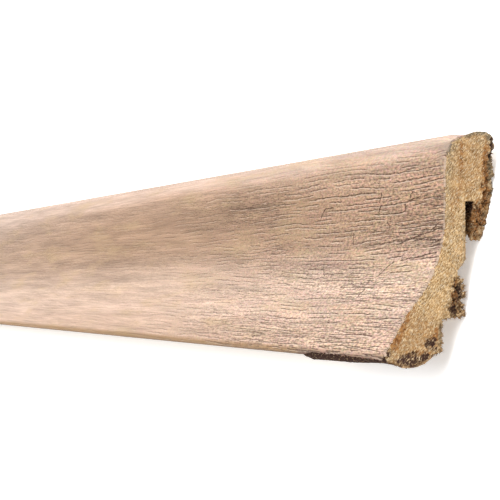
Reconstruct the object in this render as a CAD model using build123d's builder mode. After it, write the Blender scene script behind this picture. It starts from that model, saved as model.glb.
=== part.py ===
# Foil-wrapped skirting board, a small 40 x 22 mm clip-on moulding, in millimetres.
#
# The real thing is two pieces: a fibreboard moulding, and a decor foil that is glued round
# its face from behind the crest to the underside of the toe.
#
# The section is drawn as it stands in a room: x is the distance out from the wall and y is the
# height above the floor. The board can't stand by itself, so it is placed as it lies on a level
# surface: decor face up, on the outer face of the hook and the corner of the rib.
# Then +X runs along the board, +Y points towards the crest and +Z is up.
import os
from math import atan2, cos, radians, sin, tan

from build123d import *

# Overall sizes, foil included
length = 2400.0
height = 40.0
depth = 22.0
foil_thickness = 0.3

# Head: the thick top of the board, whose back lies on the wall
head_thickness = 10.0
crest_front_radius = 6.4
crest_back_radius = 2.0
foil_end_angle = 45.0  # how far the foil goes down the back of the crest, from its top
heel_height = 29.2  # lower end of the flat that lies on the wall

# Face: a nearly upright flat, then a hollow sweep that ends at a soft shoulder above the toe
face_draft = 1.0  # degrees
sweep_start_height = 25.0
shoulder_height = 8.8
shoulder_radius = 1.2

# Toe: slants out to a round nose and stands on a narrow foot, relieved behind
toe_slant = 33.0  # degrees from upright
nose_radius = 1.4
foot_back = 15.2
toe_back = 10.6
toe_back_height = 1.8

# Clip groove behind the face, with the hook that hangs over the wall clip
web_back = 5.8
groove_width = 1.8
groove_top = 27.7
hook_bottom = 21.6
hook_corner_radius = 0.4

# Detent notch and rib lower down on the back
notch_top = 17.4
notch_height = 15.4
notch_depth = 1.5
notch_bottom = 13.4
rib_back = 5.6
rib_bottom = 7.9
rib_root_height = 7.3

# Fibreboard under the foil, from behind the crest to the foot
core_face = head_thickness - foil_thickness
core_crest_radius = crest_front_radius - foil_thickness
core_nose_radius = nose_radius - foil_thickness
crest_front_centre = Vector(head_thickness - crest_front_radius, height - crest_front_radius)
crest_back_centre = Vector(crest_back_radius, height - foil_thickness - crest_back_radius)
nose_centre = Vector(depth - nose_radius, nose_radius)
face_end = Vector(
    core_face + (crest_front_centre.Y - sweep_start_height) * tan(radians(face_draft)),
    sweep_start_height,
)
toe_front_end = nose_centre + Vector(core_nose_radius, 0).rotate(Axis.Z, toe_slant)
shoulder = Vector(
    toe_front_end.X - (shoulder_height - toe_front_end.Y) * tan(radians(toe_slant)),
    shoulder_height,
)
with BuildLine() as covered:
    crest_back = CenterArc(
        crest_back_centre, crest_back_radius, 90 + foil_end_angle, -foil_end_angle
    )
    crest_flat = Line(crest_back @ 1, crest_front_centre + Vector(0, core_crest_radius))
    crest_front = CenterArc(crest_front_centre, core_crest_radius, 90, -90)
    face_flat = Line(crest_front @ 1, face_end)
    sweep = TangentArc(face_end, shoulder, tangent=face_flat % 1)
    toe_front = Line(shoulder, toe_front_end)
    nose = CenterArc(nose_centre, core_nose_radius, toe_slant, -90 - toe_slant)
    fillet(covered.vertices().sort_by_distance(shoulder)[0], shoulder_radius)

# Bare fibreboard round the back, from the foot up to where the foil ends.
# The outer face of the hook lies in one plane with the heel and the rib: the plane it rests on.
rest_tilt = atan2(rib_back, heel_height - rib_bottom)
hook_out = (heel_height - hook_bottom) * tan(rest_tilt)
hook_inner = web_back - groove_width
with BuildLine() as bare:
    Polyline(
        nose @ 1,
        (foot_back, foil_thickness),
        (toe_back, toe_back_height),
        (toe_back, rib_root_height),
        (rib_back, rib_bottom),
        (rib_back, notch_bottom),
        (web_back + notch_depth, notch_height),
        (web_back, notch_top),
        (web_back, groove_top),
        (hook_inner, groove_top),
        (hook_inner, hook_bottom),
        (hook_out, hook_bottom),
        (0, heel_height),
        (0, crest_back_centre.Y),
    )
    CenterArc(crest_back_centre, crest_back_radius, 180, foil_end_angle - 90)
    hook_corners = bare.vertices().filter_by_position(Axis.Y, hook_bottom, hook_bottom)
    fillet(hook_corners, hook_corner_radius)

# Lying plane of the section: centred across, its resting plane at z = 0
towards_crest = Vector(-sin(rest_tilt), cos(rest_tilt))
crest_edge = crest_back_centre.dot(towards_crest) + crest_back_radius + foil_thickness
nose_edge = nose_centre.dot(towards_crest) - nose_radius
lying = Plane(
    origin=(0, -(crest_edge + nose_edge) / 2, -heel_height * sin(rest_tilt)),
    x_dir=(0, -sin(rest_tilt), cos(rest_tilt)),
    z_dir=(-1, 0, 0),
)

# Fibreboard moulding
with BuildPart() as fibreboard_core:
    with BuildSketch(lying):
        with BuildLine():
            add(covered.line)
            add(bare.line)
        make_face()
    extrude(amount=length / 2, both=True)

# Decor foil, one thickness outside the covered face
with BuildPart() as decor_foil:
    with BuildSketch(lying):
        with BuildLine():
            add(covered.line)
            offset(amount=foil_thickness, side=Side.LEFT)
        make_face()
    extrude(amount=length / 2, both=True)

os.makedirs("parts", exist_ok=True)
fibreboard_core.part.label = "fibreboard_core"
export_step(fibreboard_core.part, "parts/fibreboard_core.step")
decor_foil.part.label = "decor_foil"
export_step(decor_foil.part, "parts/decor_foil.step")

for piece in (fibreboard_core, decor_foil):
    box = piece.part.bounding_box()
    print(piece.part.label, round(piece.part.volume), box.min, box.max)
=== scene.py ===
# %% [markdown]
# # A foil-wrapped skirting board
# This lesson dresses one small skirting board: a moulding milled from fibreboard, wrapped on its
# face in a printed and embossed oak foil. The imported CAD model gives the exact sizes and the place
# where the board lies. It is loaded first and is never moved. Everything below is in metres, in
# the same frame: +X runs along the board to the sawn end that we look at, +Y points towards the
# crest and +Z is up.

import math

import bmesh
import bpy
from mathutils import Matrix, Vector, noise


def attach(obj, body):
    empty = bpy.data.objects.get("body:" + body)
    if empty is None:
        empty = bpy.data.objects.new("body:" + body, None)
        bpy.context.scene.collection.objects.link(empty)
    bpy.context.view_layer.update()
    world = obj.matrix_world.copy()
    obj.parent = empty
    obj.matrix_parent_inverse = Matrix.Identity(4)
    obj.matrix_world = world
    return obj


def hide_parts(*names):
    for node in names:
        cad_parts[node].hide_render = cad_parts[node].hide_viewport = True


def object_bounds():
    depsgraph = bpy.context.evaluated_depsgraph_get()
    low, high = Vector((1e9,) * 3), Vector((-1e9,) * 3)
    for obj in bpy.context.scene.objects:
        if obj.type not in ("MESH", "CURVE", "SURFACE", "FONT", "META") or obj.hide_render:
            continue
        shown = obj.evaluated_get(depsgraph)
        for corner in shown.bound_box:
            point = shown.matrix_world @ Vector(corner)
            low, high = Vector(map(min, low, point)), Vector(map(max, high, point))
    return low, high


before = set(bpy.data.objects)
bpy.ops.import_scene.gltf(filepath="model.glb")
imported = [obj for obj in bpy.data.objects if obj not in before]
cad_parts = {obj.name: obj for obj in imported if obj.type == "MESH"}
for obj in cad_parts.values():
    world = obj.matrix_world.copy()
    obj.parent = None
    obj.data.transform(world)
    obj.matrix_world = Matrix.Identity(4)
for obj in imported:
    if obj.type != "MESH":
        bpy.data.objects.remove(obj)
cad_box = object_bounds()
MM = 0.001
END = cad_box[1].x
print("CAD box in mm:", [[round(c * 1000, 2) for c in corner] for corner in cad_box])

# %% [markdown]
# ## The section, as it stands in a room
# A skirting board is known by its section, which is drawn upright against a wall: `out` is the
# distance from the wall and `up` the height above the floor, in millimetres. The sizes are those
# of the CAD model. The board can't stand alone, so it lies on the outer face of its hook and the
# corner of its rib, tilted by the angle between them. One function turns a point of the upright
# section into the lying frame, and every piece uses it.

# %% Sizes of the section
HEIGHT, DEPTH, FOIL = 40.0, 22.0, 0.3
HEAD, CREST_FRONT, CREST_BACK, HEEL = 10.0, 6.4, 2.0, 29.2
DRAFT, SWEEP_START, SHOULDER = math.radians(1.0), 25.0, 8.8
SLANT, NOSE, FOOT_BACK, TOE_BACK, TOE_BACK_UP = math.radians(33.0), 1.4, 15.2, 10.6, 1.8
WEB, GROOVE, GROOVE_TOP, HOOK_END = 5.8, 1.8, 27.7, 21.6
NOTCH_TOP, NOTCH, NOTCH_DEEP, NOTCH_END = 17.4, 15.4, 1.5, 13.4
RIB, RIB_END, RIB_ROOT = 5.6, 7.9, 7.3

tilt = math.atan2(RIB, HEEL - RIB_END)
crest_back_centre = (CREST_BACK, HEIGHT - FOIL - CREST_BACK)
crest_front_centre = (HEAD - CREST_FRONT, HEIGHT - CREST_FRONT)
nose_centre = (DEPTH - NOSE, NOSE)


def across(out, up):
    """How far towards the crest a point of the section lies, before centring."""
    return up * math.cos(tilt) - out * math.sin(tilt)


middle = (across(*crest_back_centre) + CREST_BACK + FOIL + across(*nose_centre) - NOSE) / 2


def lying(along, out, up):
    """A point of the upright section, in metres in the lying frame; along is in metres too."""
    high = out * math.cos(tilt) + (up - HEEL) * math.sin(tilt)
    return Vector((along, (across(out, up) - middle) * MM, high * MM))


def upright(point):
    """The reverse: out and up in millimetres of a point in the lying frame."""
    y = point.y / MM + middle
    z = point.z / MM + HEEL * math.sin(tilt)
    return z * math.cos(tilt) - y * math.sin(tilt), y * math.cos(tilt) + z * math.sin(tilt)


print("tilt of the lying board:", round(math.degrees(tilt), 2), "degrees")

# %% [markdown]
# ## The line that the foil follows
# The foil starts behind the crest, comes over it, runs down the flat, into the hollow sweep, over
# the soft shoulder, down the toe and round the nose. That line is drawn once. The core uses it as
# its face, and the foil is the same line with a thickness, so the two can't come apart.


# %% Draw the covered line
def arc(centre, radius, start, end, steps):
    """Points of an arc; angles in degrees, from the outward direction towards up."""
    turn = [math.radians(start + (end - start) * i / steps) for i in range(steps + 1)]
    return [(centre[0] + radius * math.cos(a), centre[1] + radius * math.sin(a)) for a in turn]


def sweep_points(start, direction, end, steps):
    """The hollow sweep: an arc that leaves start in one direction and meets end."""
    start, direction, end = Vector(start), Vector(direction).normalized(), Vector(end)
    side = Vector((-direction.y, direction.x))
    chord = end - start
    radius = chord.length_squared / (2 * chord.dot(side))
    centre = start + side * radius
    first = (start - centre).angle_signed(end - centre)
    return [
        tuple(centre + Matrix.Rotation(-first * i / steps, 2) @ (start - centre))
        for i in range(steps + 1)
    ]


def rounded(points, corner, reach, steps):
    """Replaces one corner of a line by a short curve that starts and ends a reach away."""
    here = Vector(points[corner])
    before = here + (Vector(points[corner - 1]) - here).normalized() * reach
    after = here + (Vector(points[corner + 1]) - here).normalized() * reach
    bend = [
        tuple(before.lerp(here, k / steps).lerp(here.lerp(after, k / steps), k / steps))
        for k in range(steps + 1)
    ]
    return points[:corner] + bend + points[corner + 1:]


toe_end = (
    nose_centre[0] + (NOSE - FOIL) * math.cos(SLANT),
    nose_centre[1] + (NOSE - FOIL) * math.sin(SLANT),
)
shoulder = (toe_end[0] - (SHOULDER - toe_end[1]) * math.tan(SLANT), SHOULDER)
face_foot = (HEAD - FOIL + (crest_front_centre[1] - SWEEP_START) * math.tan(DRAFT), SWEEP_START)
covered = arc(crest_back_centre, CREST_BACK, 135, 90, 5)
covered += arc(crest_front_centre, CREST_FRONT - FOIL, 90, 0, 18)
covered += sweep_points(face_foot, (math.tan(DRAFT), -1), shoulder, 24)
corner = len(covered) - 1
covered += arc(nose_centre, NOSE - FOIL, math.degrees(SLANT), -90, 8)
covered = rounded(covered, corner, 0.4, 4)
print("covered line:", len(covered), "points, shoulder at", [round(c, 2) for c in shoulder])

# %% [markdown]
# ## Drawing a line by hand
# A section is traced as a modeller would do it: a tiny plane is merged into one vertex, which is
# extruded from point to point. The line is then extruded along the board, in short steps where
# detail is needed later and in long ones where the board is plain.


# %% Tracing and extruding
def only(piece=None):
    """Deselects everything, then selects and activates one piece."""
    bpy.ops.object.select_all(action="DESELECT")
    if piece:
        piece.select_set(True)
        bpy.context.view_layer.objects.active = piece


def trace(name, points, along):
    """A chain of edges through points of the section, at one place along the board."""
    only()
    places = [lying(along, *p) for p in points]
    bpy.ops.mesh.primitive_plane_add(size=MM, location=(0, 0, 0))
    piece = bpy.context.object
    piece.name = piece.data.name = name
    bpy.ops.object.mode_set(mode="EDIT")
    bpy.ops.mesh.merge(type="CENTER")
    bpy.ops.transform.translate(value=places[0])
    for here, there in zip(places, places[1:]):
        bpy.ops.mesh.extrude_region_move(TRANSFORM_OT_translate={"value": there - here})
    bpy.ops.object.mode_set(mode="OBJECT")
    return piece


def edit_all(piece, step, **settings):
    """Does one step of mesh editing to the whole of a piece."""
    only(piece)
    bpy.ops.object.mode_set(mode="EDIT")
    bpy.ops.mesh.select_all(action="SELECT")
    step(**settings)
    bpy.ops.object.mode_set(mode="OBJECT")


def extrude_through(stations):
    """Extrudes what is selected from one station along the board to the next."""
    for here, there in zip(stations, stations[1:]):
        bpy.ops.mesh.extrude_region_move(TRANSFORM_OT_translate={"value": (there - here, 0, 0)})


def solid_from(name, points, stations):
    """A closed solid with a given section."""
    piece = trace(name, points, stations[0])
    edit_all(piece, bpy.ops.mesh.edge_face_add)
    edit_all(piece, extrude_through, stations=stations)
    edit_all(piece, bpy.ops.mesh.normals_make_consistent, inside=False)
    return piece


def stations_between(start, end, count):
    return [start + (end - start) * i / count for i in range(count + 1)]


def faces_of(piece):
    return f"{piece.name}: {len(piece.data.polygons)} faces"


# %% [markdown]
# ## The fibreboard moulding
# The core is one milled strip. Its covered side is the line above; round the back come the foot,
# the rib, the notch, the clip groove and the hook. The long run is a plain extrusion. The last
# few millimetres, where the saw tore the board, are a second solid with the same section, remeshed
# into small even faces so that it can be roughened. It overlaps the long run, so no seam shows.

# %% Cut the long run and the sawn end
hook_out = (HEEL - HOOK_END) * math.tan(tilt)
bare = [
    (FOOT_BACK, FOIL),
    (TOE_BACK, TOE_BACK_UP),
    (TOE_BACK, RIB_ROOT),
    (RIB, RIB_END),
    (RIB, NOTCH_END),
    (WEB + NOTCH_DEEP, NOTCH),
    (WEB, NOTCH_TOP),
    (WEB, GROOVE_TOP),
    (WEB - GROOVE, GROOVE_TOP),
    (WEB - GROOVE, HOOK_END),
    (hook_out, HOOK_END),
    (0, HEEL),
]
bare += arc(crest_back_centre, CREST_BACK, 180, 135, 5)[:-1]
section = covered + bare
TORN, LAP = 6.5 * MM, 0.5 * MM
moulding = solid_from("moulding", section, [-END, END - TORN])
sawn_end = solid_from("sawn_end", section, [END - TORN - LAP, END])
print(faces_of(moulding), "|", faces_of(sawn_end))


# %% Modifiers, applied as soon as they are set
def finish_with(piece, kind, **settings):
    """Adds one modifier, gives it its settings and applies it."""
    only(piece)
    modifier = piece.modifiers.new(kind.title(), kind)
    for key, value in settings.items():
        setattr(modifier, key, value)
    bpy.ops.object.modifier_apply(modifier=modifier.name)


VOXEL, SMOOTH_BELOW = 0.152 * MM, math.radians(35)
finish_with(sawn_end, "REMESH", mode="VOXEL", voxel_size=VOXEL)
print(faces_of(sawn_end))

# %% [markdown]
# ## Torn edges and stains
# The saw left the decor side clean and tore the bare side: the back of the head, the hook, the
# rib and the bottom of the toe are broken out, dark and fibrous. Damp has stained the end rust
# brown round the toe, and the end is grey under the crest. Inside the groove the walls are painted
# nearly black, as painted shade, and share that dark colour with the sooty spots on the end. Each
# such place is a soft spot in the section, and a list of spots gives every vertex a value from 0
# to 1, an attribute for the material. The torn value is a vertex group too, for four Displace
# modifiers with cloudy textures that break the end back.

# %% Where the end is torn or stained
SPOTS = {  # each spot: out, up, half width, half height, how strong
    "torn": [
        (0.5, 32.6, 1.2, 4.0, 0.9), (0.7, 28.6, 1.3, 3.4, 1.0), (2.4, 24.0, 1.9, 3.4, 1.0),
        (3.0, 22.2, 2.0, 1.5, 1.0), (6.4, 10.8, 1.9, 3.2, 1.0), (7.8, 8.8, 1.8, 1.6, 0.9),
        (13.0, 3.1, 0.9, 1.2, 0.45), (16.4, 0.2, 3.6, 1.0, 1.0), (11.0, 3.4, 0.5, 2.2, 0.6),
    ],
    "rust": [
        (17.5, 7.7, 0.3, 1.1, 1.3), (18.1, 6.5, 0.25, 0.9, 1.5), (18.6, 5.3, 0.35, 0.9, 1.6),
        (19.4, 4.0, 0.7, 0.9, 1.6), (20.2, 2.8, 0.7, 0.9, 1.3), (11.8, 4.9, 0.35, 1.2, 1.4),
        (12.4, 4.1, 0.5, 0.6, 1.2), (14.2, 1.4, 1.6, 0.6, 0.8), (6.5, 34.9, 0.4, 3.2, 0.9),
        (6.8, 31.0, 0.35, 2.2, 0.6), (7.4, 28.6, 0.35, 1.8, 0.5), (1.6, 33.5, 0.7, 4.0, 1.2),
        (1.7, 29.0, 0.8, 2.6, 1.1), (3.2, 25.0, 1.1, 3.0, 1.1), (4.9, 23.0, 0.9, 1.6, 0.8),
        (7.6, 11.2, 0.9, 2.4, 0.9), (17.0, 4.5, 5.0, 4.0, 0.35), (5.0, 33.5, 2.8, 5.0, 0.3),
        (8.3, 27.5, 0.6, 3.5, 0.3), (17.0, 9.0, 1.2, 1.0, 0.5),
        (16.0, 0.8, 3.2, 1.3, 0.6), (13.0, 3.2, 1.4, 1.1, 0.6),
    ],
    "soot_and_shade": [
        (17.2, 0.2, 2.0, 1.1, 1.0), (14.4, 0.8, 1.2, 0.6, 0.9), (12.9, 3.2, 0.85, 0.6, 0.95),
        (13.6, 2.8, 0.5, 0.4, 0.8), (12.3, 3.7, 0.4, 0.5, 0.8), (11.5, 1.9, 0.5, 0.3, 0.4),
        (21.4, 1.9, 0.5, 0.8, 0.8), (12.2, 2.2, 0.7, 0.4, 0.6), (0.3, 37.2, 0.35, 1.6, 0.8),
        (6.5, 11.6, 0.7, 1.4, 0.75), (7.9, 9.0, 0.9, 0.8, 0.8),
    ],
    # Groove spots: painted shade deep in the clip groove, laid with the sooty dark colour.
    "groove": [(4.9, 26.9, 1.4, 1.7, 1.0), (5.2, 24.2, 0.8, 2.0, 0.4)],
    "grey": [
        (8.9, 36.0, 1.3, 3.0, 0.6), (9.1, 31.5, 0.8, 3.5, 0.5), (9.2, 36.9, 0.5, 1.8, 1.3),
        (7.6, 38.8, 1.0, 0.7, 1.4), (4.4, 39.7, 4.6, 0.7, 1.7), (0.8, 38.8, 0.9, 1.3, 1.5),
        (9.5, 26.0, 0.5, 4.0, 0.4), (6.2, 20.5, 0.35, 4.5, 0.5), (10.8, 4.5, 0.4, 2.6, 0.6),
        (3.2, 37.4, 1.0, 1.6, 0.3), (6.2, 12.0, 0.4, 1.6, 0.7), (0.1, 33.4, 0.6, 4.6, 1.0),
    ],
}


def clipped(value):
    """Keeps a value between 0 and 1."""
    return min(1.0, max(0.0, value))


def rough(a, b, c=0.0):
    """Smooth noise, from about -1 to 1, at three numbers."""
    return noise.noise(Vector((a, b, c)))


def away_at(point):
    """Millimetres from the sawn end."""
    return (END - point.x) / MM


def spots_at(kind, out, up):
    """How strong one kind of spot is at a point of the section, with an uneven border."""
    wobble = 0.5 * rough(out * 0.9, up * 0.9, 3.0) + 0.45 * rough(out * 2.2, up * 2.2, 8.0)
    most = 0.0
    for spot_out, spot_up, wide, high, strength in SPOTS[kind]:
        reach = math.hypot((out - spot_out) / wide, (up - spot_up) / high)
        most = max(most, strength * clipped((1.35 - reach - wobble) / 0.6))
    return most


def weigh(piece, name, rule):
    """Stores a rule of place as an attribute for the material."""
    attribute = piece.data.attributes.new(name + "_mask", "FLOAT", "POINT")
    attribute.data.foreach_set("value", [rule(vertex.co) for vertex in piece.data.vertices])


def group_from(piece, kind, rule=lambda point: 1.0, name=None):
    """Makes a vertex group of an attribute, for the modifiers, held back by a rule of place."""
    weights = [value.value for value in piece.data.attributes[kind + "_mask"].data]
    weights = [w * rule(vertex.co) for w, vertex in zip(weights, piece.data.vertices)]
    group = piece.vertex_groups.new(name=name or kind)
    for index, weight in enumerate(weights):
        if weight > 0.0:
            group.add([index], weight, "REPLACE")


def end_rule(kind, reach):
    """A spot that fades out as it goes into the board, over a reach in millimetres."""
    return lambda point: spots_at(kind, *upright(point)) * max(0.0, 1 - away_at(point) / reach)


def soot_and_shade_rule(point):
    """Soot on the end itself, and painted shade inside the groove, where it starts behind the face.
    """
    behind = clipped((away_at(point) - 0.15) / 0.3)
    return max(end_rule("soot_and_shade", 2.0)(point), behind * spots_at("groove", *upright(point)))


for kind, reach in (("torn", 4.5), ("rust", 4.0), ("grey", 3.0)):
    weigh(sawn_end, kind, end_rule(kind, reach))
weigh(sawn_end, "soot_and_shade", soot_and_shade_rule)
group_from(sawn_end, "torn")


def roughen(piece, name, size, depth, direction, group, strength, middle):
    """Displaces the vertices of a group with a cloudy texture; sizes in millimetres."""
    texture = bpy.data.textures.new(name, "CLOUDS")
    texture.noise_scale, texture.noise_depth = size * MM, depth
    texture.noise_basis = "IMPROVED_PERLIN"
    finish_with(piece, "DISPLACE", texture=texture, direction=direction, texture_coords="LOCAL",
                vertex_group=group, strength=strength * MM, mid_level=middle)


def ragged_rule(point):
    """Only the last 2 mm, where the edges themselves are ragged."""
    return clipped((1.0 - away_at(point) / 2.2) * 1.6)


group_from(sawn_end, "torn", ragged_rule, "ragged")
roughen(sawn_end, "ragged", 1.3, 1, "NORMAL", "ragged", 2.2, 0.48)
roughen(sawn_end, "broken_back", 0.9, 2, "X", "torn", -1.5, 0.1)
roughen(sawn_end, "fibrous", 0.45, 1, "NORMAL", "torn", 1.2, 0.5)
roughen(sawn_end, "felted", 0.3, 2, "X", "", 0.3, 0.5)
print("sawn end roughened")

# %% [markdown]
# The crest was knocked a few millimetres before the end, and foil and core are dented there
# together: one rule moves a vertex towards the middle of the head, and the foil below uses it too.
# The end itself has swollen a little above the foil. The hook's edge is bitten away at the end and
# again behind it, with a tuft left between, and the notch and the rib have lost their edges.

# %% Dent the crest and bite the hook, the notch and the rib
HOOK_BITE = [(0.0, 0.8), (0.6, 0.5), (1.3, -0.5), (1.9, -0.1), (2.6, 0.4), (3.4, 1.0), (4.4, 1.05),
             (5.2, 0.85), (6.0, 0.4), (6.5, 0.0)]
DENT = [(0.0, 0.16), (0.6, 0.3), (1.6, 0.6), (3.2, 0.6), (4.6, 0.42), (6.0, 0.14), (6.9, 0.0)]
RIB_BITE = [(7.4, 0.0), (8.2, 0.4), (9.0, 0.85), (10.6, 0.75), (11.6, 0.5), (12.4, 0.7),
            (13.2, 0.5), (13.9, 0.1)]
HEAD_MIDDLE, HEAD_INNER = (4.2, 34.0), 4.0
DENTED_AT, SWOLLEN_AT = 92, 118  # degrees round the middle of the head, counted from outwards
HOOK_REACH, RIB_OUT, NOTCH_LIP = HOOK_END + 2.5, 8.0, 15.1


def between(table, at):
    """Reads a value between the rows of a small table; its ends carry on level."""
    for (here, low), (there, high) in zip(table, table[1:]):
        if at <= there:
            return low + (high - low) * max(0.0, at - here) / (there - here)
    return table[-1][1]


def dented(point):
    """Where a point of the head goes: inwards at the dent, outwards on the swollen end."""
    away = away_at(point)
    out, up = upright(point)
    from_middle = Vector((out - HEAD_MIDDLE[0], up - HEAD_MIDDLE[1]))
    angle = math.degrees(math.atan2(from_middle.y, from_middle.x))
    push = -between(DENT, away) * (0.9 + 0.5 * rough(angle * 0.08, away))
    swollen = clipped(1.9 - abs(angle - SWOLLEN_AT) / 22) * max(0.0, 1.0 - away / 0.9)
    push = push * clipped(1.9 - abs(angle - DENTED_AT) / 26) + 0.48 * swollen
    place = Vector((out, up)) + from_middle.normalized() * push
    return lying(point.x, *place) if from_middle.length > HEAD_INNER else point


for vertex in sawn_end.data.vertices:
    vertex.co = dented(vertex.co)
    away = away_at(vertex.co)
    out, up = upright(vertex.co)
    last = clipped((6.2 - away) / 1.5)
    if out < WEB - GROOVE + 0.2 and up < HOOK_REACH:
        bite = between(HOOK_BITE, away) + 0.35 * rough(out * 2.0, away * 1.2, 1.0)
        bite *= clipped(last * 2.0) * clipped((HOOK_REACH - up) / 1.8)
        vertex.co = lying(vertex.co.x, out, up + bite)
    elif out < RIB_OUT and RIB_END - 0.5 < up < NOTCH_TOP:
        bite = between(RIB_BITE, up) + 0.5 * max(0.0, 1.0 - abs(up - NOTCH_LIP) / 1.5)
        bite += 0.3 * rough(up * 2.0, away * 0.6, 5.0)
        bite *= last * clipped((RIB_OUT - out) / 1.2)
        vertex.co = lying(vertex.co.x, out + max(0.0, bite), up)
print("crest dented, hook, notch and rib bitten")

# %% [markdown]
# ## The torn lip under the toe
# Along the last 34 mm the foil has chipped off the lower edge, and the swollen, dirty fibreboard
# shows there as a dark strip; its near-black face is dirt and painted shade together. It hangs a
# millimetre below the sole at the sawn end, thins behind it, swells again and stops quite suddenly.

# %% Model the torn lip
LIP = 34.0 * MM
lip_section = arc(nose_centre, 1.22, 25, -40, 4)
lip_section += [(21.3, -0.2), (20.9, -0.6), (20.2, -0.9), (18.4, -1.1), (16.9, -1.1),
                (15.7, -1.0), (14.4, -0.5), (13.1, 0.3), (12.3, 1.0), (13.5, 1.4), (20.0, 1.8)]
lip = solid_from("lip", lip_section, [END - LIP, END - 0.1 * MM])
finish_with(lip, "REMESH", mode="VOXEL", voxel_size=0.24 * MM)
LIP_ROOT, LIP_FRONT = 0.6, 18.6
HANG = [(0.0, 0.97), (1.2, 0.82), (3.0, 0.56), (8.0, 0.56), (12.0, 0.7), (16.0, 0.82),
        (28.0, 0.86), (31.0, 0.9), (33.0, 0.7), (34.0, 0.3)]
for vertex in lip.data.vertices:
    away = max(0.0, away_at(vertex.co))
    out, up = upright(vertex.co)
    if up < LIP_ROOT:
        hang = between(HANG, away) + 0.07 * rough(away * 0.6, 4.0)
        hang *= 1 - 0.6 * clipped((out - LIP_FRONT) / 1.4) * max(0.0, 1 - away / 2.5)
        vertex.co = lying(vertex.co.x, out, LIP_ROOT - (LIP_ROOT - up) * max(0.0, hang))


def inside_rule(point):
    """0 on the sawn end of the lip and 1 from a millimetre into the board."""
    return clipped((away_at(point) - 0.5) / 0.4)


def dirt_and_shade_rule(point):
    """The face of the lip is nearly black, dirt and painted shade together; its sawn end is only
    spotted.
    """
    inside = inside_rule(point)
    # Painted shade: the face of the lip is pushed to nearly black.
    face = min(2.0, 1.7 + 0.9 * noise.noise(point * 420)) * inside
    return max(face, spots_at("soot_and_shade", *upright(point)) * (1 - inside))


def broken_rule(point):
    """The lip is torn a little at its end and more along its face."""
    return min(1.0, 0.3 + 0.5 * inside_rule(point) + 0.4 * noise.noise(point * 900))


weigh(lip, "torn", broken_rule)
weigh(lip, "rust", lambda point: 0.25 + 0.5 * noise.noise(point * 500))
weigh(lip, "soot_and_shade", dirt_and_shade_rule)
weigh(lip, "grey", lambda point: 0.0)
group_from(lip, "torn", lambda point: min(1.0, max(0.1, 1.1 - upright(point)[1])))
roughen(lip, "lumps", 0.8, 2, "NORMAL", "torn", 0.4, 0.55)
print(faces_of(lip))

# %% [markdown]
# ## Loose fibres
# Sawn fibreboard has a fuzz of short fibres along its torn edges. One three-sided sliver is
# modelled and copied along those edges, set on the torn surface and tipped at random, but the same
# way in every run. The copies are one mesh.

# %% Model one fibre and set the fuzz
import random

dice = random.Random(7)
only()
bpy.ops.mesh.primitive_cone_add(vertices=3, radius1=0.06, radius2=0.0, depth=1.0,
                                location=(0, 0, 0.5))
fibre = bpy.context.object
bpy.ops.object.transform_apply(location=True)
FUZZY = [  # two ends of an edge of the section, fibres on it, longest fibre in mm
    ((0.0, 36.5), (0.0, 30.0), 80, 0.6),
    ((0.1, 38.9), (4.4, 39.6), 70, 0.55),
    ((4.2, 39.4), (9.3, 36.0), 60, 0.35),
    ((0.1, 29.3), (1.9, 21.8), 120, 0.7),
    ((2.0, 21.9), (4.2, 21.9), 80, 0.7),
    ((5.8, 22.0), (5.8, 17.6), 50, 0.5),
    ((5.9, 17.3), (7.2, 15.5), 24, 0.4),
    ((7.2, 15.2), (5.7, 13.5), 44, 0.6),
    ((5.7, 13.3), (5.9, 8.2), 190, 0.95),
    ((5.8, 8.1), (10.5, 7.3), 90, 0.9),
    ((10.6, 7.2), (10.6, 2.0), 140, 0.6),
    ((10.7, 1.9), (13.6, 0.4), 90, 0.8),
    ((13.6, 0.3), (17.2, -0.5), 90, 0.5),
    ((17.2, -0.5), (20.9, 0.2), 80, 0.45),
]
fuzz = bmesh.new()
for start, end, count, longest in FUZZY:
    outward = lying(0, *end) - lying(0, *start)
    outward = Vector((0, -outward.z, outward.y)).normalized()
    host = lip if max(start[1], end[1]) < 0.6 else sawn_end
    for _ in range(count):
        share = dice.random()
        out = start[0] + (end[0] - start[0]) * share
        up = start[1] + (end[1] - start[1]) * share
        place = lying(END - dice.uniform(0.0, 1.1) * MM, out, up)
        place = host.closest_point_on_mesh(place)[1]
        way = outward + Vector((dice.gauss(0.2, 0.5), dice.gauss(0, 0.6), dice.gauss(0, 0.6)))
        length = longest * (0.3 + 0.7 * dice.random() ** 2) * MM
        way.normalize()
        if place.z + way.z * length < 0.1 * MM:
            way.z = max(way.z, 0.3)
        turn = way.to_track_quat("Z", "Y").to_matrix().to_4x4()
        thick = [dice.uniform(0.7, 1.5) * MM for _ in range(2)]
        copy = fibre.data.copy()
        copy.transform(Matrix.Translation(place) @ turn @ Matrix.Diagonal((*thick, length, 1)))
        fuzz.from_mesh(copy)
        bpy.data.meshes.remove(copy)
fuzz_mesh = bpy.data.meshes.new("fibres")
fuzz.to_mesh(fuzz_mesh)
fuzz.free()
fibres = bpy.data.objects.new("fibres", fuzz_mesh)
bpy.context.collection.objects.link(fibres)
only(fibre)
bpy.ops.object.delete()
print(faces_of(fibres))

# %% Join the fibreboard into one piece
for kind, strength in (("torn", 0.85), ("rust", 0.35), ("soot_and_shade", 0.12), ("grey", 0.5)):
    weigh(fibres, kind, lambda point: strength)
    weigh(moulding, kind, lambda point: 0.0)
only(moulding)
for part in (sawn_end, lip, fibres):
    part.select_set(True)
bpy.ops.object.join()
for vertex in moulding.data.vertices:
    vertex.co.z = max(vertex.co.z, 0.01 * MM)
bpy.ops.object.shade_smooth_by_angle(angle=SMOOTH_BELOW)
print(faces_of(moulding))

# %% [markdown]
# ## The decor foil
# The foil is a sheet that was wrapped round the face, so it is made like one: the covered line is
# run along the board as a bare surface, unrolled into a UV map that counts real metres, flaked at
# its lower edge and its crest corner, and only then given its thickness.

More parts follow.
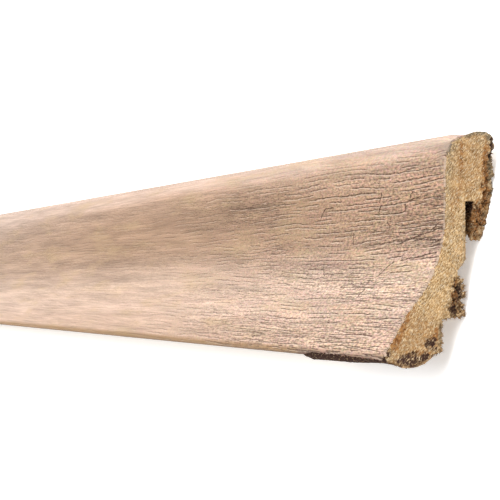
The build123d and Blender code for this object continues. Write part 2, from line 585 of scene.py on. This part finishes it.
# %% Run the foil along the board
fine = []
for here, there in zip(covered, covered[1:]):
    gap = math.dist(here, there)
    low = here[1] < 4.0
    parts = max(1, round(gap / (0.12 if low else 0.5)))
    fine += [tuple(Vector(here).lerp(Vector(there), i / parts)) for i in range(parts)]
fine.append(covered[-1])
foil = trace("foil", fine, -END)
CHIPPED, NIBBLED = 36.0 * MM, 4.2 * MM
stations = stations_between(-END, END - CHIPPED, 12)
stations += stations_between(END - CHIPPED, END - NIBBLED, 132)[1:]
stations += stations_between(END - NIBBLED, END, 24)[1:]
edit_all(foil, extrude_through, stations=stations)
run = [0.0]
for here, there in zip(fine, fine[1:]):
    run.append(run[-1] + math.dist(here, there))
print(faces_of(foil), "| width of the foil:", round(run[-1], 2), "mm")

# %% Unroll it into a UV map in metres
unrolled = {tuple(round(c, 2) for c in place): far * MM for place, far in zip(fine, run)}


def unroll(point):
    """Metres across the foil at a point, counted from its edge behind the crest."""
    place = upright(point)
    return unrolled[min(unrolled, key=lambda p: math.dist(p, place))]


rows = {}
width_of = []
for vertex in foil.data.vertices:
    key = (round(vertex.co.y * 1e7), round(vertex.co.z * 1e7))
    if key not in rows:
        rows[key] = unroll(vertex.co)
    width_of.append(rows[key])
sheet = foil.data.uv_layers.new(name="unrolled")
for loop in foil.data.loops:
    vertex = foil.data.vertices[loop.vertex_index]
    sheet.data[loop.index].uv = (END - vertex.co.x, width_of[loop.vertex_index])
print("unrolled", len(rows), "rows")

# %% Flake the lower edge and the crest corner, and dent the crest
WIDTH = run[-1] * MM
TORN_RUN, CREST_CUT = 34.0, 9.0


def flaked(along, width):
    """True where the foil is gone; along and width in metres from the end and the crest."""
    near = along / MM
    low = (WIDTH - width) / MM
    if near < TORN_RUN:
        chip = 0.78 + 0.4 * clipped(near / 20.0) + 0.8 * max(0.0, 1.0 - near / 2.0)
        chip += 0.25 * rough(near * 0.6, 1.0) + 0.35 * rough(near * 2.3, 2.0)
        chip *= clipped((TORN_RUN - near) / 5.0)
        if low < chip:
            return True
    place = width / MM
    nibble = 0.1 + 0.45 * rough(place * 0.8, 7.0) + 0.3 * rough(place * 2.1, 6.0)
    notch = (1.0 + 0.9 * rough(place * 0.9, 9.0)) * clipped(CREST_CUT - place)
    return near < max(nibble, notch)


edit_all(foil, bpy.ops.mesh.select_mode, type="FACE")
sheet = foil.data.uv_layers["unrolled"]
for polygon in foil.data.polygons:
    at = [sheet.data[i].uv for i in polygon.loop_indices]
    polygon.select = flaked(sum(uv.x for uv in at) / 4, sum(uv.y for uv in at) / 4)
print("flaked faces:", sum(p.select for p in foil.data.polygons))
bpy.ops.object.mode_set(mode="EDIT")
bpy.ops.mesh.delete(type="FACE")
bpy.ops.object.mode_set(mode="OBJECT")
for vertex in foil.data.vertices:
    if vertex.co.x > END - CHIPPED and upright(vertex.co)[1] > HEAD_MIDDLE[1]:
        vertex.co = dented(vertex.co)

# %% Give it its thickness, outwards
sample = min(foil.data.polygons, key=lambda p: (p.center - lying(0, HEAD, 29.0)).length)
faces_out = sample.normal.dot(lying(0, 1, 0) - lying(0, 0, 0)) > 0
finish_with(foil, "SOLIDIFY", thickness=FOIL * MM, offset=1.0 if faces_out else -1.0,
            use_even_offset=True)
edit_all(foil, bpy.ops.mesh.normals_make_consistent, inside=False)
bpy.ops.object.shade_smooth_by_angle(angle=SMOOTH_BELOW)
print(faces_of(foil))

# %% [markdown]
# ## Building materials
# Materials are node trees. A few small helpers add a node, set its inputs and link them in one
# go, so that each finish below reads as a recipe. They all work on `tree`, which every group and
# material sets to its own node tree first.


# %% Helpers for nodes
def add(kind, inputs=None, **settings):
    """Adds a node; inputs are values or the sockets to link from, by name or number."""
    made = tree.nodes.new(kind)
    for key, value in settings.items():
        setattr(made, key, value)
    for key, value in (inputs or {}).items():
        if isinstance(value, bpy.types.NodeSocket):
            tree.links.new(value, made.inputs[key])
        else:
            made.inputs[key].default_value = value
    return made


def maths(operation, *values, clamp=False):
    inputs = dict(enumerate(values))
    return add("ShaderNodeMath", inputs, operation=operation, use_clamp=clamp).outputs[0]


def times(value, factor):
    return maths("MULTIPLY", value, factor)


def minus(value, less):
    return maths("SUBTRACT", value, less)


def linear(value, slope, start):
    """value * slope + start."""
    return maths("MULTIPLY_ADD", value, slope, start)


def fade(value, slope, start):
    """value * slope + start, kept between 0 and 1."""
    return maths("MULTIPLY_ADD", value, slope, start, clamp=True)


def vector_maths(operation, *values, output=0):
    made = add("ShaderNodeVectorMath", dict(enumerate(values)), operation=operation)
    return made.outputs[output]


def scaled(vector, factor):
    """Makes a vector longer or a colour lighter."""
    inputs = {0: vector, "Scale": factor}
    return add("ShaderNodeVectorMath", inputs, operation="SCALE").outputs[0]


def joined(*axes):
    return add("ShaderNodeCombineXYZ", dict(enumerate(axes))).outputs[0]


def split(vector):
    return add("ShaderNodeSeparateXYZ", {0: vector}).outputs


def blend(share, first, second, way="MIX"):
    """Mixes two colours, given as sockets or as red, green and blue."""
    first, second = ((*c, 1.0) if isinstance(c, tuple) else c for c in (first, second))
    made = add("ShaderNodeMix", {0: share, 6: first, 7: second}, data_type="RGBA", blend_type=way)
    return made.outputs[2]


def ramp(value, stops):
    """A colour ramp; each stop is a place from 0 to 1 and a colour."""
    made = add("ShaderNodeValToRGB", {0: value})
    elements = made.color_ramp.elements
    while len(elements) > 1:
        elements.remove(elements[-1])
    for index, (place, colour) in enumerate(stops):
        element = elements[0] if index == 0 else elements.new(place)
        element.position = place
        element.color = (*colour, 1.0)
    return made.outputs[0]


def new_group(name, inputs, outputs):
    """A node group with named sockets; an input without a default is a vector."""
    made = bpy.data.node_groups.new(name, "ShaderNodeTree")
    for socket, default in inputs.items():
        kind = "NodeSocketVector" if default is None else "NodeSocketFloat"
        given = made.interface.new_socket(socket, in_out="INPUT", socket_type=kind)
        if default is not None:
            given.default_value = default
    for socket in outputs:
        made.interface.new_socket(socket, in_out="OUTPUT", socket_type="NodeSocketFloat")
    return made, made.nodes.new("NodeGroupInput").outputs, made.nodes.new("NodeGroupOutput").inputs


# %% [markdown]
# ## Noise along the grain
# Nearly every mark on wood is longer one way than the other. Multiplying the axes of a vector
# before a noise texture reads it gives just that, so the helper takes the features per metre
# along each axis: two on the unrolled foil, three in the fibreboard.


# %% Stretched noise
def noise_at(vector, per_metre, detail, shift=(0.0, 0.0, 0.0), roughness=0.6):
    """Noise between 0 and 1 that is finer one way than the other."""
    placed = vector_maths("MULTIPLY_ADD", vector, (*per_metre, 1.0)[:3], shift)
    inputs = {"Vector": placed, "Scale": 1.0, "Detail": detail, "Roughness": roughness}
    return add("ShaderNodeTexNoise", inputs, noise_dimensions=f"{len(per_metre)}D").outputs[0]


def noise_colour(vector, scale, detail):
    """Noise in three channels, to shift places and hues with."""
    inputs = {"Vector": vector, "Scale": scale, "Detail": detail}
    return add("ShaderNodeTexNoise", inputs, noise_dimensions="2D").outputs[1]


def new_material(name):
    """A material, its node tree and its shader."""
    made = bpy.data.materials.new(name)
    made.use_nodes = True
    return made, made.node_tree, made.node_tree.nodes["Principled BSDF"]


def around_one(value, gain):
    """Turns a noise into a factor that is 1 on average."""
    return linear(value, gain, 1.0 - gain / 2)


# %% [markdown]
# ## Grain lines
# The foil is embossed with long, thin, wavy lines that break off and start again. The distance
# across the grain, swayed by noise, is cut into rows. Each row has one line in its middle, and a
# noise that is read along the row says where the line is pressed in and where it stops. Beside
# each dark line a second output gives a painted highlight: a light rim painted into the colour,
# where a lamp would catch the edge of the dent.

# %% Grain lines group
grain_lines, given, result = new_group(
    "grain_lines",
    {"Vector": None, "Lines Per Metre": 1000.0, "Pieces Per Metre": 100.0, "Width": 0.12,
     "Share": 0.5, "Waviness": 1.0, "Seed": 0.0},
    ["Mask", "Highlight Rim"],
)
tree = grain_lines
axes = split(given["Vector"])
shift = joined(given["Seed"], given["Seed"])
slow = noise_at(given["Vector"], (38.0, 150.0), 1.0, shift)
quick = noise_at(given["Vector"], (420.0, 900.0), 1.0, shift)
sway = linear(slow, 3.0, times(quick, 0.5))
count = linear(axes[1], given["Lines Per Metre"], given["Seed"])
count = linear(sway, given["Waviness"], count)
row, within = maths("FLOOR", count), maths("FRACT", count)
dice = add("ShaderNodeTexWhiteNoise", {"W": row}, noise_dimensions="1D").outputs["Value"]
start = linear(dice, 61.0, times(axes[0], given["Pieces Per Metre"]))
spot = joined(start, times(row, 3.7))
pieces = noise_at(spot, (1.0, 1.0), 1.0)
limit = linear(given["Share"], -0.5, 0.75)
there = maths("DIVIDE", minus(pieces, limit), 0.07, clamp=True)
reach = times(given["Width"], linear(there, 0.5, 0.5))


def stripe(middle):
    """A soft stripe of the line's width round one place in the row."""
    far = maths("ABSOLUTE", minus(within, middle))
    level = maths("DIVIDE", minus(reach, far), times(reach, 0.6), clamp=True)
    return times(level, there)


tree.links.new(stripe(0.5), result["Mask"])
# The second stripe is a painted highlight, a light rim beside the line.
tree.links.new(stripe(linear(given["Width"], 1.7, 0.5)), result["Highlight Rim"])
print("grain lines group:", len(tree.nodes), "nodes")

# %% [markdown]
# ## Fibres drawn with cells
# A Voronoi texture gives one round cell per point. Stretched one way, each cell becomes one short
# fibre, and a cell's random colour says whether its fibre is there and how strong it is.

# %% Fibres group
fibre_marks, given, result = new_group(
    "fibre_marks",
    {"Vector": None, "Per Metre Along": 700.0, "Per Metre Across": 3500.0, "Width": 0.4,
     "Share": 0.5, "Waviness": 0.6},
    ["Mask"],
)
tree = fibre_marks
scale = joined(given["Per Metre Along"], given["Per Metre Across"], 1.0)
stretched = vector_maths("MULTIPLY", given["Vector"], scale)
wave = scaled(noise_colour(stretched, 0.5, 1.0), given["Waviness"])
bent = vector_maths("ADD", stretched, wave)
cells = add("ShaderNodeTexVoronoi", {"Vector": bent, "Scale": 1.0}, voronoi_dimensions="2D")
parts = add("ShaderNodeSeparateColor", {0: cells.outputs["Color"]}).outputs
there = maths("LESS_THAN", parts[0], given["Share"])
reach = times(given["Width"], linear(parts[1], 0.8, 0.5))
level = maths("SUBTRACT", 1.0, maths("DIVIDE", cells.outputs["Distance"], reach), clamp=True)
mask = times(times(level, there), linear(parts[2], 0.7, 0.5))
tree.links.new(mask, result["Mask"])
print("fibres group:", len(tree.nodes), "nodes")

# %% [markdown]
# ## Cracks placed one by one
# Some deep cracks break the grain near the sawn end, along it or across from one line to the
# next. Each is a stroke between two points of the unrolled foil, and the vector that the strokes
# read is shaken a little, so that none is straight.

# %% Crack strokes
crack_stroke, given, result = new_group(
    "crack_stroke", {"Vector": None, "From": None, "To": None, "Half Width": 0.2 * MM}, ["Mask"]
)
tree = crack_stroke
whole = vector_maths("SUBTRACT", given["To"], given["From"])
part = vector_maths("SUBTRACT", given["Vector"], given["From"])
share = maths("DIVIDE", vector_maths("DOT_PRODUCT", part, whole, output=1),
              vector_maths("DOT_PRODUCT", whole, whole, output=1), clamp=True)
far = vector_maths("DISTANCE", part, scaled(whole, share), output=1)
half = given["Half Width"]
level = maths("DIVIDE", minus(half, far), times(half, 0.6), clamp=True)
tree.links.new(level, result["Mask"])
print("crack stroke group:", len(tree.nodes), "nodes")

# %% [markdown]
# ## The oak decor
# The decor is printed in pinkish beige, with a darker grey-brown band below the crest and a pale
# band in the sweep. These bands are partly print and partly painted light and shade: the crest and
# the sweep are painted lighter and the flat below the crest darker. Soft streaks and a fine
# speckle lie over it. Patches placed one by one give the long dark streak under the crest and the
# places where the grain is deepest. The grain is at its strongest near the sawn end, where damp has
# raised it, and gets finer further along.

# %% Oak decor: where things are
decor, tree, skin = new_material("oak_decor")
sheet_uv = add("ShaderNodeUVMap", uv_map="unrolled").outputs[0]
from_end, from_crest = split(sheet_uv)[:2]
share_across = maths("DIVIDE", from_crest, WIDTH)
near = maths("MAXIMUM", fade(from_end, -6.5, 1.12), 0.25)
ragged = noise_at(sheet_uv, (60.0, 260.0), 2.0)


def patch(away, across_at, long, wide):
    """A soft, ragged patch: its middle and its half sizes in mm, from the end and the crest."""
    u = linear(from_end, 1.0 / (long * MM), -away / long)
    v = linear(from_crest, 1.0 / (wide * MM), -across_at / wide)
    square = maths("ADD", times(u, u), times(v, v))
    inside = minus(1.5, maths("SQRT", square))
    return fade(ragged, -1.0, inside)


deep_grain = maths("MAXIMUM", patch(8.0, 24.0, 26.0, 4.4), patch(12.0, 44.8, 30.0, 3.4))
deep_grain = maths("MAXIMUM", deep_grain, patch(9.0, 13.0, 22.0, 1.5))
calm_crest = linear(fade(from_crest, 220.0, -1.9), 0.75, 0.25)
dark_streak = patch(97.0, 17.6, 62.0, 3.4)
grey_corner = patch(0.5, 9.5, 3.0, 4.0)

# %% Oak decor: the cracks
CRACKS = [  # from and to, each in mm from the sawn end and from the crest edge; half width in mm
    (47, 19.5, 45.5, 18, 0.2), (45.5, 18, 42, 18, 0.17), (22, 16, 23.5, 18, 0.2),
    (22.5, 18.5, 23.5, 20, 0.2), (11, 16, 11.5, 17.5, 0.17), (8, 17.5, 12, 18, 0.15),
    (13, 18.5, 13.5, 20, 0.17), (19.5, 21.5, 19, 23, 0.15), (33.5, 23.5, 32.5, 25.5, 0.17),
    (15.5, 29.5, 19, 32, 0.17), (21.5, 35, 22, 37, 0.15), (2, 22.5, 3.5, 23.5, 0.17),
    (0.5, 23.2, 15, 25.8, 0.13), (0, 25.5, 9, 25.2, 0.12), (1, 27.8, 12.5, 29, 0.13),
    (43, 29.5, 41, 32, 0.12),
]
shake = linear(noise_at(sheet_uv, (230.0, 520.0), 2.0), 2.4 * MM, -1.2 * MM)
shaken = joined(maths("ADD", from_end, shake), linear(shake, 0.35, from_crest))
cracks = 0.0
for start_away, start_across, end_away, end_across, half in CRACKS:
    inputs = {"Vector": shaken, "From": (start_away * MM, start_across * MM, 0.0),
              "To": (end_away * MM, end_across * MM, 0.0), "Half Width": half * MM}
    stroke = add("ShaderNodeGroup", inputs, node_tree=crack_stroke)
    cracks = maths("MAXIMUM", stroke.outputs["Mask"], cracks)
print("cracks:", len(CRACKS))

# %% Oak decor: the print
drift = linear(noise_at(sheet_uv, (9.0, 60.0), 2.0), 0.1, -0.05)
sunk = maths("MINIMUM", times(from_end, 0.2), 0.075)
sunk = times(sunk, linear(fade(share_across, 6.0, -1.5), 0.9, 1.0))
banded = maths("ADD", share_across, minus(drift, sunk))
# Partly print, partly painted light and shade: lighter crest and sweep, darker flat below the crest.
tone = ramp(banded, [
    (0.00, (0.445, 0.325, 0.262)), (0.16, (0.455, 0.327, 0.256)), (0.212, (0.36, 0.24, 0.17)),
    (0.29, (0.32, 0.205, 0.137)), (0.40, (0.325, 0.21, 0.14)), (0.48, (0.31, 0.205, 0.142)),
    (0.55, (0.36, 0.25, 0.185)), (0.64, (0.465, 0.335, 0.255)), (0.75, (0.468, 0.335, 0.259)),
    (0.86, (0.445, 0.31, 0.232)), (1.00, (0.43, 0.295, 0.215)),
])
top_faded = linear(fade(banded, -5.0, 2.0), 0.3, 0.42)
faded = times(fade(from_end, 2.5, -0.45), top_faded)
tone = blend(faded, tone, (0.445, 0.383, 0.347))
tone = scaled(tone, around_one(noise_at(sheet_uv, (20.0, 420.0), 3.0), 0.8))
tone = scaled(tone, around_one(noise_at(sheet_uv, (60.0, 2400.0), 2.0), 0.6))
speckle = noise_at(sheet_uv, (1100.0, 2500.0), 2.0, roughness=0.75)
rough_near = times(near, near)
speckled = times(times(minus(speckle, 0.5), 2.6), calm_crest)
tone = scaled(tone, linear(speckled, rough_near, 1.0))
yellow = fade(noise_at(sheet_uv, (40.0, 190.0), 2.0), 4.0, -2.1)
tone = blend(times(yellow, 0.4), tone, (0.44, 0.31, 0.175))
tone = scaled(tone, linear(dark_streak, -0.25, 1.0))
for per_metre, spread in (((70.0, 420.0, 1.0), 0.11), ((900.0, 2100.0, 1.0), 0.3)):
    hues = noise_colour(vector_maths("MULTIPLY", sheet_uv, per_metre), 1.0, 1.0)
    hues = vector_maths("MULTIPLY_ADD", hues, (spread,) * 3, (1 - spread / 2,) * 3)
    tone = blend(near, tone, hues, "MULTIPLY")
tone = blend(times(grey_corner, 0.35), tone, (0.24, 0.22, 0.19))
chipped_run = fade(from_end, -220.0, 8.0)
turned_under = times(fade(share_across, 70.0, -67.2), minus(1.0, chipped_run))
tone = blend(times(turned_under, 0.7), tone, (0.30, 0.17, 0.065))
# Painted shade: the foil where it turns under the nose is painted nearly black.
shade_under_nose = fade(share_across, 90.0, -88.3)
tone = blend(times(shade_under_nose, 0.85), tone, (0.10, 0.05, 0.02))
bruised = linear(speckle, 2.6, times(share_across, 62.0))
bruised = times(maths("ADD", bruised, -61.2, clamp=True), chipped_run)
tone = blend(times(bruised, 0.8), tone, (0.12, 0.048, 0.026))
print("oak decor, print:", len(tree.nodes), "nodes")


# %% Oak decor: the embossed grain
SWING, SWING_RUN, SWING_MIDDLE = 0.055, 30 * MM, 25 * MM
swing = maths("MAXIMUM", linear(from_end, -SWING, SWING * SWING_RUN), 0.0)
window = fade(maths("ABSOLUTE", minus(from_crest, SWING_MIDDLE)), -100.0, 1.0)
swung = joined(from_end, maths("ADD", from_crest, times(swing, window)))


def line_layer(lines, pieces, width, share, waviness, seed):
    """One layer of grain: its lines and the painted highlights beside them."""
    inputs = {"Vector": swung, "Lines Per Metre": lines, "Pieces Per Metre": pieces,
              "Width": width, "Share": share, "Waviness": waviness, "Seed": seed}
    layer = add("ShaderNodeGroup", inputs, node_tree=grain_lines).outputs
    return layer["Mask"], layer["Highlight Rim"]


long_lines, long_highlight_rims = line_layer(1150.0, 100.0, 0.13, 0.58, 0.8, 0.0)
fine_lines = line_layer(2600.0, 300.0, 0.2, 0.6, 1.3, 11.3)[0]
bold_lines, bold_highlight_rims = line_layer(640.0, 130.0, 0.1, 0.56, 0.6, 4.7)
crowd = fade(noise_at(sheet_uv, (16.0, 120.0), 2.0), 4.0, -1.3)
bold = times(bold_lines, deep_grain)
grain = maths("MAXIMUM", times(long_lines, 0.85), times(times(fine_lines, 0.8), crowd))
highlight_rims = maths("MAXIMUM", long_highlight_rims, times(bold_highlight_rims, deep_grain))
dots = fade(noise_at(sheet_uv, (1500.0, 2600.0), 1.0), 3.2, -0.85)

# %% Oak decor: plates and the steps between them
block = vector_maths("MULTIPLY", sheet_uv, (110.0, 620.0, 1.0))
block = vector_maths("MULTIPLY_ADD", noise_colour(block, 0.9, 2.0), (0.8, 0.8, 0.0), block)
plate = add("ShaderNodeTexVoronoi", {"Vector": block, "Scale": 1.0}, voronoi_dimensions="2D")
plate = add("ShaderNodeSeparateColor", {0: plate.outputs["Color"]}).outputs[0]
plates = times(minus(plate, 0.5), rough_near)
tone = scaled(tone, linear(plates, 0.22, 1.0))

# %% Oak decor: the grain meets the print
grain = times(maths("MAXIMUM", grain, bold), calm_crest)
dents = maths("MAXIMUM", times(grain, near), cracks)
dents = times(dents, linear(dots, 0.55, 0.45))
# Painted highlight: light rims beside the dents are painted into the colour.
highlight_rims = times(highlight_rims, times(calm_crest, near))
tone = blend(times(highlight_rims, 0.45), tone, (0.66, 0.53, 0.43))
tone = blend(times(dents, 0.92), tone, (0.05, 0.019, 0.011))
cut = fade(from_end, -5000.0, 1.6)
top_cut = fade(from_crest, -600.0, 6.5)
cut_colour = blend(top_cut, (0.42, 0.315, 0.235), (0.12, 0.10, 0.07))
tone = blend(times(cut, 0.8), tone, cut_colour)
print("oak decor, grain:", len(tree.nodes), "nodes")

# %% Oak decor: sheen and relief
streak = noise_at(sheet_uv, (55.0, 1500.0), 3.0)
height = linear(speckle, 0.25, linear(dents, -1.0, times(streak, 0.35)))
relief = add("ShaderNodeBump", {"Strength": 1.0, "Distance": 0.22 * MM, "Height": height})
for made, socket in ((tone, "Base Color"), (linear(streak, 0.2, 0.5), "Roughness"),
                     (relief.outputs[0], "Normal")):
    tree.links.new(made, skin.inputs[socket])
skin.inputs["Specular IOR Level"].default_value = 0.1
foil.data.materials.append(decor)

# %% [markdown]
# ## The fibreboard
# Fibreboard is felted wood: pale ochre, full of short fibres that the saw laid over to one side.
# The pattern is read from Object coordinates, turned upright and then along the fibres, so their
# slant stays the same all over the end. The stains and torn places come from the attributes.

# %% Fibreboard: the felt
board, tree, skin = new_material("fibreboard")
FIBRE_SLANT = math.radians(38)


def turned(vector, angle):
    """Turns a vector about the length of the board."""
    return add("ShaderNodeMapping", {"Vector": vector, "Rotation": (angle, 0, 0)}).outputs[0]


place = add("ShaderNodeTexCoord").outputs["Object"]
standing = turned(vector_maths("SUBTRACT", place, tuple(lying(0, 0, 0))), -tilt)
slanted = turned(standing, FIBRE_SLANT)
axes = split(slanted)
flat = joined(axes[1], linear(axes[0], 0.6, axes[2]))
felt = noise_at(slanted, (1500.0, 1400.0, 5200.0), 3.0, roughness=0.7)
fine_felt = noise_at(slanted, (2600.0, 2400.0, 9000.0), 2.0)
speck = noise_at(standing, (2600.0, 2600.0, 2600.0), 2.0)
mottle = noise_at(standing, (260.0, 380.0, 300.0), 3.0)
blotches = noise_at(standing, (700.0, 700.0, 700.0), 2.0)
inputs = {"Vector": flat, "Per Metre Along": 1100.0, "Per Metre Across": 5600.0}
light_fibres = add("ShaderNodeGroup", inputs, node_tree=fibre_marks).outputs["Mask"]
tone = ramp(felt, [(0.30, (0.09, 0.045, 0.018)), (0.42, (0.255, 0.153, 0.066)),
                   (0.52, (0.415, 0.278, 0.14)), (0.66, (0.60, 0.465, 0.30))])
tone = scaled(tone, around_one(fine_felt, 2.1))
tone = scaled(tone, around_one(mottle, 0.95))
tone = scaled(tone, around_one(blotches, 0.8))
tone = blend(fade(mottle, 3.0, -1.4), tone, blend(0.5, tone, (0.37, 0.20, 0.067)))
tone = blend(times(light_fibres, 0.85), tone, (0.66, 0.56, 0.42))
tone = blend(fade(speck, 6.0, -3.6), tone, (0.09, 0.05, 0.025))


# %% Fibreboard: torn and stained
rough_cloud = noise_at(standing, (1300.0, 1300.0, 1300.0), 3.0)


def mask_of(kind):
    return add("ShaderNodeAttribute", attribute_name=kind + "_mask").outputs["Fac"]


def stain(tone, kind, strength, colour):
    """Lays a stain over the felt, broken up by its fibres."""
    gaps = linear(felt, -4.5, linear(rough_cloud, 2.5, 1.85))
    level = maths("MULTIPLY", times(mask_of(kind), strength), gaps, clamp=True)
    return blend(level, tone, colour)


broken = ramp(rough_cloud, [(0.34, (0.055, 0.029, 0.016)), (0.45, (0.165, 0.088, 0.04)),
                            (0.54, (0.28, 0.165, 0.078)), (0.66, (0.41, 0.295, 0.17))])
gaps = linear(felt, -3.2, 2.4)
tone = blend(maths("MULTIPLY", mask_of("torn"), gaps, clamp=True), tone, broken)
tone = stain(tone, "grey", 0.75, (0.14, 0.113, 0.073))
rusty = ramp(rough_cloud, [(0.36, (0.075, 0.029, 0.012)), (0.5, (0.21, 0.092, 0.032)),
                           (0.64, (0.32, 0.165, 0.06))])
tone = stain(tone, "rust", 1.2, rusty)
# The same dark colour is sooty dirt on the end and painted shade in the groove and under the toe.
tone = stain(tone, "soot_and_shade", 1.4, (0.042, 0.021, 0.016))
height = linear(fine_felt, 0.5, linear(light_fibres, 0.6, felt))
relief = add("ShaderNodeBump", {"Strength": 0.9, "Distance": 0.2 * MM, "Height": height})
tree.links.new(tone, skin.inputs["Base Color"])
tree.links.new(relief.outputs[0], skin.inputs["Normal"])
skin.inputs["Roughness"].default_value = 0.9
skin.inputs["Specular IOR Level"].default_value = 0.03
moulding.data.materials.clear()
moulding.data.materials.append(board)
print("fibreboard:", len(tree.nodes), "nodes")

# %% [markdown]
# ## Handing the pieces over
# Each piece rides on the one body and stands for its CAD node.

# %% Ride and replace
for piece, node, finish in ((moulding, "fibreboard_core", "fibreboard"),
                            (foil, "decor_foil", "decor_foil")):
    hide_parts(node)
    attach(piece, "root")

# %% [markdown]
# ## Floor, light and camera
# The photograph is a cut-out on white, lit softly from above the crest. A pale, slightly glowing
# floor, an even sky and two broad lamps give the same light: the crest and the lower sweep are
# bright and the flat of the face is darker. The ramp of the decor paints part of that as well.

# %% Floor and light
only()
bpy.ops.mesh.primitive_plane_add(size=60.0, location=(0, 0, -0.02 * MM))
floor = bpy.context.object
floor.name = "floor"
pale, tree, skin = new_material("pale_floor")
skin.inputs["Base Color"].default_value = (0.93, 0.93, 0.93, 1)
skin.inputs["Roughness"].default_value = 0.9
skin.inputs["Emission Strength"].default_value = 0.35
floor.data.materials.append(pale)

world = bpy.data.worlds.new("studio")
world.use_nodes = True
sky = world.node_tree.nodes["Background"].inputs
sky["Color"].default_value, sky["Strength"].default_value = (1, 1, 1, 1), 0.7
bpy.context.scene.world = world


def lamp(name, direction, strength, angle):
    """A lamp far away in a given direction; the angle, in degrees, is how wide it looks."""
    only()
    bpy.ops.object.light_add(type="SUN", location=Vector(direction) * 2)
    light = bpy.context.object
    light.name = name
    light.rotation_euler = Vector(direction).to_track_quat("Z", "Y").to_euler()
    light.data.energy, light.data.angle = strength, math.radians(angle)


lamp("key", (0.30, 0.72, 0.62), 1.6, 20.0)
lamp("fill", (0.35, 0.12, 0.93), 2.7, 50.0)
bpy.context.scene.view_settings.view_transform = "Standard"

# %% Camera at the photograph's angle
TURN, RISE, ROLL = math.radians(23.88), math.radians(1.21), math.radians(-0.35)
FOCAL, PICTURE, SENSOR = 1467.2, 500, 36.0  # focal length and picture in pixels, sensor in mm
AWAY, OUT, UP = 217.7 * MM, 143.18, 14.05
lens = bpy.data.cameras.new("camera")
lens.sensor_width, lens.lens = SENSOR, FOCAL / PICTURE * SENSOR
lens.clip_start = 0.01
camera = bpy.data.objects.new("camera", lens)
bpy.context.collection.objects.link(camera)
out_way = (lying(0, 1, 0) - lying(0, 0, 0)).normalized()
up_way = (lying(0, 0, 1) - lying(0, 0, 0)).normalized()
ahead = Vector((-math.cos(TURN), 0, 0)) - out_way * math.sin(TURN)
ahead = (ahead * math.cos(RISE) + up_way * math.sin(RISE)).normalized()
right = ahead.cross(up_way).normalized()
top = right.cross(ahead)
facing = Matrix((right, top, -ahead)).transposed() @ Matrix.Rotation(ROLL, 3, "Z")
camera.matrix_world = Matrix.Translation(lying(END + AWAY, OUT, UP)) @ facing.to_4x4()
bpy.context.scene.camera = camera
print("lens:", round(lens.lens, 1), "mm")
